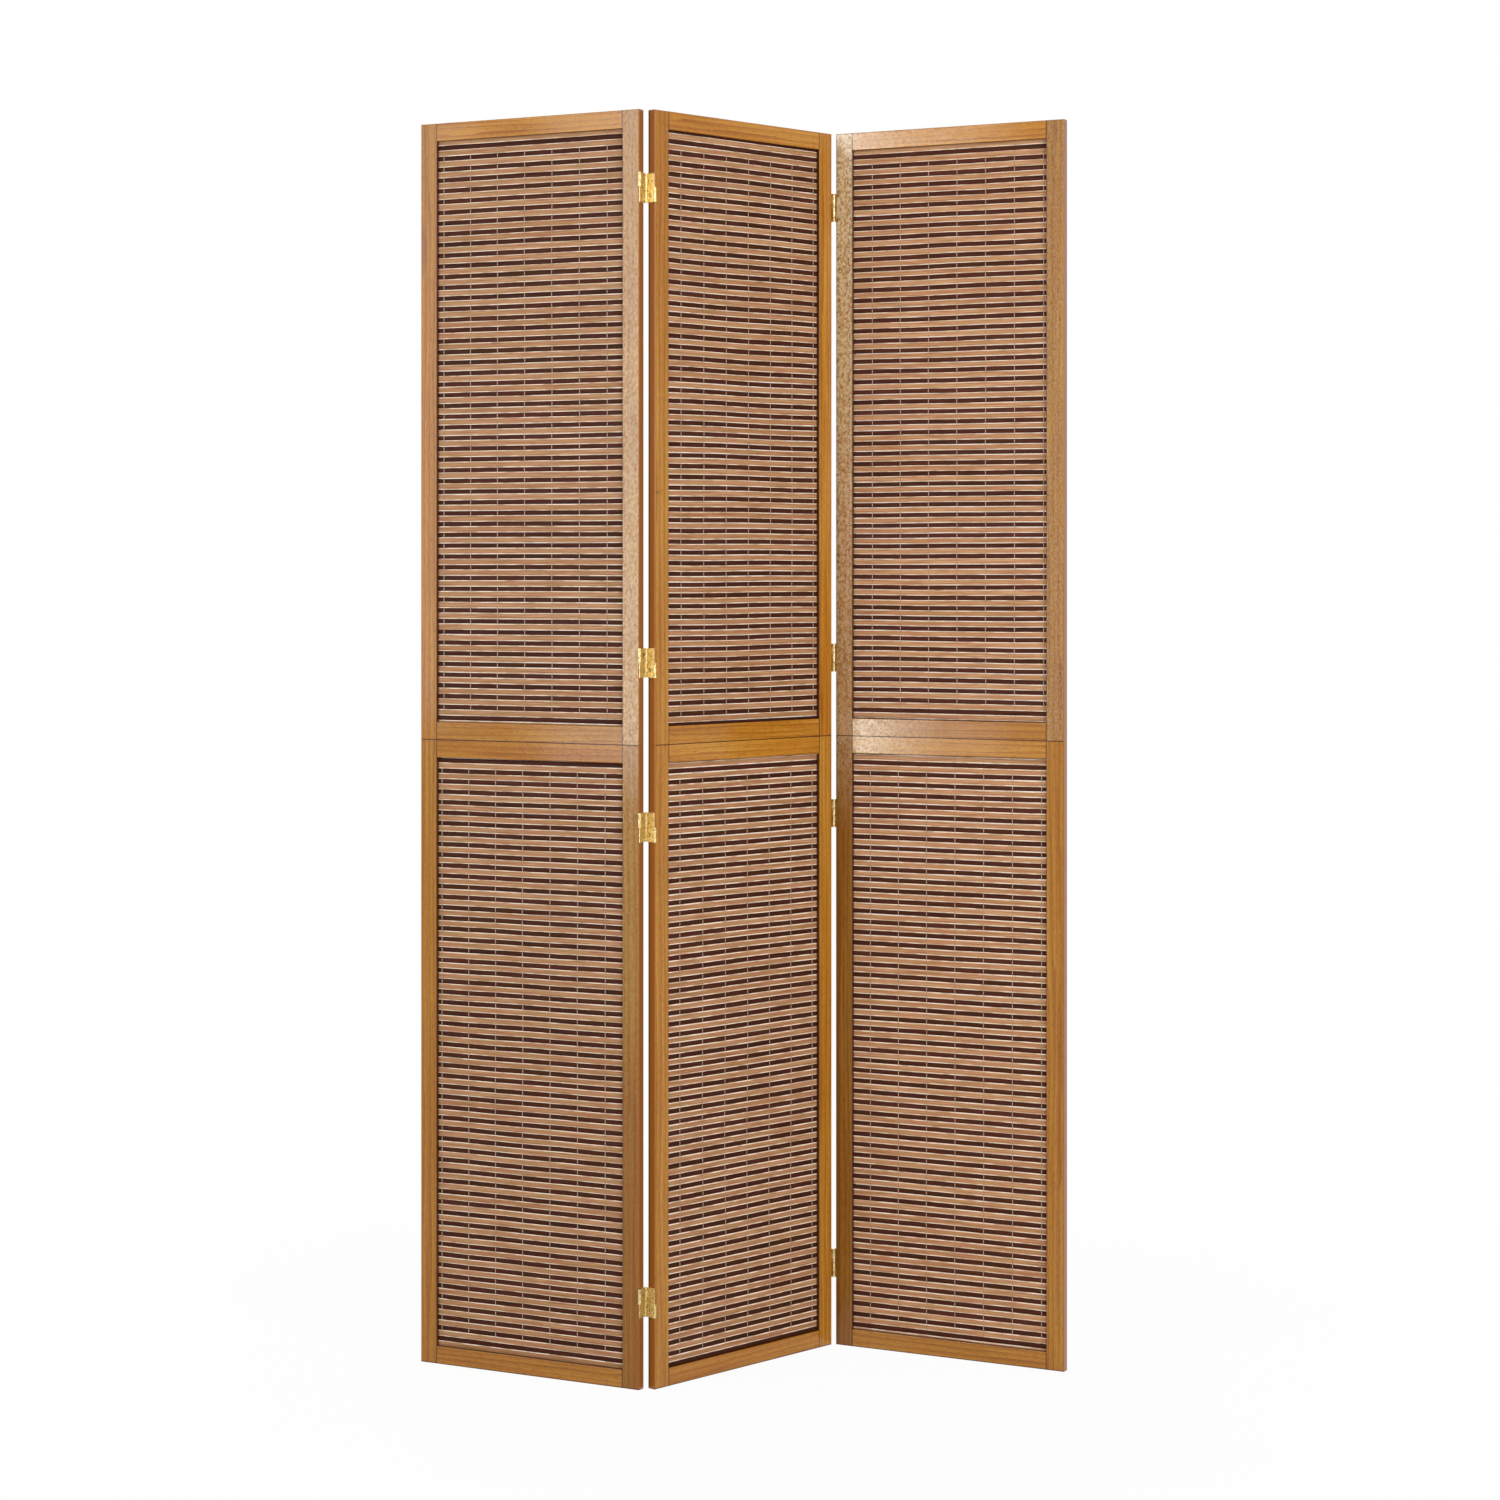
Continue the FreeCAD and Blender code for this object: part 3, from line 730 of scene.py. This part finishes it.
def weave_slats(panel, tier, kind):
    """All light or all dark slats of a mat, as one piece in place of the CAD slats."""
    node = f"{panel}_{tier}_{kind}_slats"
    levels = slat_levels(node)
    box = node_points(node, panel)
    length, thickness = box[:, 0].max() - box[:, 0].min(), box[:, 1].max() - box[:, 1].min()
    height = half_heights(panel, tier)[kind]
    ease = ROUGH_HEIGHT_MM.get(node, EASE_HEIGHT_MM[kind]) * MM
    piece = new_slat(f"woven_{node}", (length, thickness, 2 * height), ease, EASE_DEPTH_MM[kind] * MM)
    each = len(piece.data.vertices)
    stack(piece, len(levels), (0, 0, levels[1] - levels[0]))
    rng = np.random.default_rng(SLAT_SEED + 100 * PANELS.index(panel) + 10 * TIERS.index(tier) + len(kind))

    def own(size):
        """A number for each slat, spread over its vertices."""
        return np.repeat(rng.uniform(-size, size, len(levels)), each)

    points = points_of(piece)
    x = points[:, 0]
    rise = points[:, 2] - np.repeat(levels - levels[0], each)
    face_edge = np.abs(rise) > height - TINY
    rise *= 1 + own(HEIGHT_SPREAD_MM * MM / height / 2)
    wave_length = np.repeat(rng.uniform(*BOW_WAVE_MM, len(levels)), each) * MM
    wave = 2 * math.pi * x / wave_length + own(math.pi)
    lean = own(LEAN_MM * MM) * x / (length / 2)
    bow = own(BOW_MM * MM) * np.sin(wave)
    points[:, 2] = np.repeat(levels, each) + rise + lean + bow
    points[:, 1] += own(DEPTH_SPREAD_MM * MM)
    mark(piece, "slat_tone", np.repeat(rng.uniform(0, 1, len(levels)), each))
    mark(piece, "slat_edge", face_edge)
    set_points(piece, mat_waves(panel, tier)(points))
    piece.data.transform(panel_frames[panel][1])
    piece.data.materials.append(slat_woods[panel, kind])
    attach(piece, f"{panel}_panel")
    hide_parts(node)
    return piece


# %% Weave all the mats
for panel in PANELS:
    for tier in TIERS:
        for kind in ("light", "dark"):
            piece = weave_slats(panel, tier, kind)
            print(piece.name, len(piece.data.vertices), "vertices", len(piece.data.polygons), "faces")

# %% [markdown]
# ## Warp threads
# Two cotton threads twine round the slats at each warp line: while one passes in front of a light slat the
# other passes behind it, and they change places in the gap. So a short stitch shows on every slat. One
# stretch of a strand, from one dark slat to the next, is drawn by extruding a small ring along its path, and
# two arrays repeat it up the mat and along it.


# %% Cotton
TWIST_MM = (1.2, 1.2, 1.2)
TWIST_STOPS = (0.35, 0.65)


def cotton_thread(name, shades):
    """Twisted cotton: matt, beige, with a slight mottle from its twist."""
    material, tree, shader = new_material(name, {"Roughness": 0.85})
    twist = add(tree, "ShaderNodeTexNoise", {
        "Vector": stretched(tree, 0, TWIST_MM), "Scale": 1.0, "Detail": 2.0})
    colour = add(tree, "ShaderNodeValToRGB", {"Fac": twist.outputs["Fac"]}, stops=[
        (stop, linear(shade)) for stop, shade in zip(TWIST_STOPS, shades)])
    tree.links.new(colour.outputs["Color"], shader.inputs["Base Color"])
    return material


# The strand over the light slats is the same cotton, painted darker as the shade along it on the light slats.
cottons = {
    "over_light": cotton_thread("tan_cotton_thread_painted_shade", ("#a07a58", "#b58e6a")),
    "over_dark": cotton_thread("pale_cotton_thread", ("#a28872", "#c9b19a")),
}
print("Thread materials:", [cotton.name for cotton in cottons.values()])

# %% One stretch of a strand
THREAD_SIDES = 6
CROSS_HALF_MM = 0.9


def new_strand(name, size, front, back, light_half, pitch):
    """One stretch of a strand, over a light slat at y = front and behind its dark neighbours at y = back."""
    width, thick = size
    deselect()
    bpy.ops.mesh.primitive_circle_add(vertices=THREAD_SIDES, radius=0.5)
    strand = bpy.context.object
    strand.name = name
    bpy.ops.object.mode_set(mode="EDIT")
    bpy.ops.transform.resize(value=(width, thick, 1))
    turn_in, turn_out = light_half - CROSS_HALF_MM * MM, light_half + CROSS_HALF_MM * MM
    between = (front + back) / 2
    path = [(-pitch / 2, back), (-turn_out, back), (-light_half, between), (-turn_in, front), (0, front),
            (turn_in, front), (light_half, between), (turn_out, back), (pitch / 2, back)]
    bpy.ops.transform.translate(value=(0, path[0][1], path[0][0]))
    for (z0, y0), (z1, y1) in zip(path, path[1:]):
        bpy.ops.mesh.extrude_region_move(TRANSFORM_OT_translate={"value": (0, y1 - y0, z1 - z0)})
    bpy.ops.object.mode_set(mode="OBJECT")
    return strand


# %% [markdown]
# The threads' places along the panel come from the CAD threads, which are straight strips on both faces of
# the mat: the middles of the strips are the warp lines. The strands then follow the weave's slow waves. The
# weave starts and ends beside the first and the last dark slat that show, so no stitch crosses those two: the
# strand is cut off there with a bisect.

# %% The threads of one panel
STRAND_SIZE_MM = {"over_light": (1.0, 0.45), "over_dark": (1.3, 0.5)}
STRAND_SHIFT_MM = {"over_light": 0.2, "over_dark": -0.2}


def warp_lines(panel, tier):
    """First warp line of a mat, the step to the next, and how many there are, along the panel."""
    points = node_points(f"{panel}_warp_threads", panel)
    inside = points[(points[:, 2] > SEAM_HEIGHT) == (tier == "upper")]
    middles = distinct(inside[:, 0]).reshape(-1, 2).mean(axis=1)
    return middles[0], middles[1] - middles[0], len(middles)


def twine(panel, tier, strand_kind):
    """One of the two strands at all warp lines of a mat."""
    width, thick = (size * MM for size in STRAND_SIZE_MM[strand_kind])
    node = f"{panel}_{tier}_light_slats"
    levels = slat_levels(node)
    pitch = levels[1] - levels[0]
    light = np.abs(node_points(node, panel)[:, 1]).max() + thick / 2
    dark = np.abs(node_points(f"{panel}_{tier}_dark_slats", panel)[:, 1]).max() + thick / 2
    front, back = (-light, dark) if strand_kind == "over_light" else (light, -dark)
    first, step, count = warp_lines(panel, tier)
    halves = half_heights(panel, tier)
    strand = new_strand(f"{strand_kind}_{panel}_{tier}", (width, thick), front, back, halves["light"], pitch)
    stack(strand, len(levels), (0, 0, pitch))
    bpy.ops.object.mode_set(mode="EDIT")
    bpy.ops.mesh.select_all(action="SELECT")
    bpy.ops.mesh.remove_doubles(threshold=TINY)
    if strand_kind == "over_dark":
        low, high = opening_heights(panel, tier)
        shown = [level - levels[0] for level in slat_levels(f"{panel}_{tier}_dark_slats") if low < level < high]
        foot, head = shown[0] + halves["dark"], shown[-1] - halves["dark"]
        bpy.ops.mesh.bisect(plane_co=(0, 0, foot), plane_no=(0, 0, 1), clear_inner=True)
        bpy.ops.mesh.select_all(action="SELECT")
        bpy.ops.mesh.bisect(plane_co=(0, 0, head), plane_no=(0, 0, 1), clear_outer=True)
    bpy.ops.mesh.select_all(action="DESELECT")
    bpy.ops.mesh.select_non_manifold()
    bpy.ops.mesh.edge_face_add()
    bpy.ops.object.mode_set(mode="OBJECT")
    stack(strand, count, (step, 0, 0))
    points = points_of(strand)
    points += (first + STRAND_SHIFT_MM[strand_kind] * MM, 0, levels[0])
    set_points(strand, mat_waves(panel, tier)(points))
    strand.data.materials.append(cottons[strand_kind])
    return strand


# %% Thread all the mats
for panel in PANELS:
    strands = [twine(panel, tier, strand_kind) for tier in TIERS for strand_kind in cottons]
    deselect()
    for strand in strands:
        strand.select_set(True)
    bpy.context.view_layer.objects.active = strands[0]
    bpy.ops.object.join()
    threads = bpy.context.object
    threads.name = f"twined_{panel}_warp_threads"
    threads.data.transform(panel_frames[panel][1])
    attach(threads, f"{panel}_panel")
    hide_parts(f"{panel}_warp_threads")
    print(threads.name, len(threads.data.polygons), "faces")

# %% [markdown]
# ## Smooth and flat
# The slats and threads shade smoothly along their length, but a slat's broken edges stay crisp.

# %% Shading
SMOOTH_ANGLE = math.radians(30)
for piece in [obj for obj in bpy.data.objects if obj.name.startswith(("woven_", "twined_"))]:
    deselect()
    piece.select_set(True)
    bpy.context.view_layer.objects.active = piece
    bpy.ops.object.shade_smooth_by_angle(angle=SMOOTH_ANGLE)
print("Smoothed pieces")

# %% [markdown]
# ## Floor, room and lights
# The screen stands in a white studio. The floor is pale and keeps a soft shadow near the screen; further off
# it runs into the white of the room. The camera and mirrors see it glow, while to all other light it is a
# plain white surface that bounces it. A tall softbox on the left glances off the varnish of the panels that
# face it; a wide one in front lights the rest evenly, and a weaker one behind fills the back. Narrow strips
# beside the left one only add gleams, as white cards in a studio do.

# %% Floor
FLOOR_SIZE = 14.0
FLOOR_GLOW = (0.95, 1.0)
FLOOR_FADE = (0.5, 2.0)


def seen_directly(tree):
    """1 for camera, mirror and glass rays, which should meet the white studio, and 0 for light that bounces."""
    path = add(tree, "ShaderNodeLightPath").outputs
    seen = path["Is Camera Ray"]
    for ray in ("Is Glossy Ray", "Is Transmission Ray"):
        seen = add(tree, "ShaderNodeMath", {0: seen, 1: path[ray]}, operation="MAXIMUM").outputs[0]
    return seen


deselect()
bpy.ops.mesh.primitive_plane_add(size=FLOOR_SIZE, location=(0, 0, 0))
floor = bpy.context.object
floor.name = "studio_floor"
floor_material, tree, shader = new_material("white_studio_floor", {
    "Base Color": linear("#f2f2f0"), "Roughness": 0.9})
glow = add(tree, "ShaderNodeEmission", {"Color": linear("#ffffff"), "Strength": 1.0})
place = add(tree, "ShaderNodeTexCoord").outputs["Object"]
away = add(tree, "ShaderNodeVectorMath", {0: place}, operation="LENGTH")
glow_share = add(tree, "ShaderNodeMapRange", {
    "Value": away.outputs["Value"], "From Min": FLOOR_FADE[0], "From Max": FLOOR_FADE[1],
    "To Min": FLOOR_GLOW[0], "To Max": FLOOR_GLOW[1]})
share = add(tree, "ShaderNodeMath", {
    0: seen_directly(tree), 1: glow_share.outputs["Result"]}, operation="MULTIPLY")
both = add(tree, "ShaderNodeMixShader", {
    "Fac": share.outputs[0], 1: shader.outputs["BSDF"], 2: glow.outputs["Emission"]})
output = next(node for node in tree.nodes if node.type == "OUTPUT_MATERIAL")
tree.links.new(both.outputs["Shader"], output.inputs["Surface"])
floor.data.materials.append(floor_material)
print("Floor made:", floor.name)

# %% Room
ROOM_LIGHT = 0.42
world = bpy.data.worlds.new("white_studio")
bpy.context.scene.world = world
world.use_nodes = True
tree = world.node_tree
tree.nodes.clear()
level = add(tree, "ShaderNodeMapRange", {"Value": seen_directly(tree), "To Min": ROOM_LIGHT, "To Max": 1.0})
room = add(tree, "ShaderNodeBackground", {"Color": linear("#ffffff"), "Strength": level.outputs["Result"]})
add(tree, "ShaderNodeOutputWorld", {"Surface": room.outputs["Background"]})
print("Room made:", world.name)


# %% Lights
def softbox(name, place, aim, size, power, only_gleams=False):
    """Rectangular soft light, or one that shows only where it is mirrored in a gloss."""
    deselect()
    bpy.ops.object.light_add(type="AREA", location=place)
    lamp = bpy.context.object
    lamp.name = name
    lamp.rotation_euler = (Vector(aim) - Vector(place)).to_track_quat("-Z", "Y").to_euler()
    lamp.data.shape = "RECTANGLE"
    lamp.data.size, lamp.data.size_y = size
    lamp.data.energy = power
    lamp.visible_camera = False
    lamp.visible_diffuse = not only_gleams


softbox("softbox_left", (-1.95, -1.16, 1.6), (0.1, 0.05, 1.55), (0.72, 1.6), 14)
softbox("softbox_front", (1.6, -4.4, 2.6), (0.0, 0.0, 1.0), (2.6, 2.6), 150)
softbox("softbox_back", (-1.2, 4.6, 2.8), (0.0, 0.0, 1.0), (2.6, 2.6), 70)
softbox("strip_left", (-1.94, -1.16, 1.6), (0.2, 0.1, 1.58), (0.11, 1.66), 7, only_gleams=True)
softbox("strip_far_left", (-1.93, -0.46, 1.7), (-0.5, 0.1, 1.6), (0.26, 1.5), 3.2, only_gleams=True)

# %% [markdown]
# ## Camera
# The photograph was taken from five metres away with a level camera at eye height, so that upright edges
# stay upright, and its frame was shifted down to take in the whole screen. The numbers come from fitting such
# a camera to the corners of the panels.

# %% Camera
FRAME_PX = 1500
FOCAL_PX = 3119
HORIZON_PX = 563.3
SENSOR_MM = 36
CAMERA_PLACE = (-0.8020, -4.9530, 1.2908)
CAMERA_TURN = -9.337
deselect()
bpy.ops.object.camera_add(location=CAMERA_PLACE, rotation=(math.pi / 2, 0, math.radians(CAMERA_TURN)))
camera = bpy.context.object
camera.data.sensor_width = SENSOR_MM
camera.data.lens = FOCAL_PX / FRAME_PX * SENSOR_MM
camera.data.shift_y = -(FRAME_PX / 2 - HORIZON_PX) / FRAME_PX
bpy.context.scene.camera = camera
bpy.context.scene.view_settings.view_transform = "Standard"
print("Lens", round(camera.data.lens, 2), "mm, shift", round(camera.data.shift_y, 4))
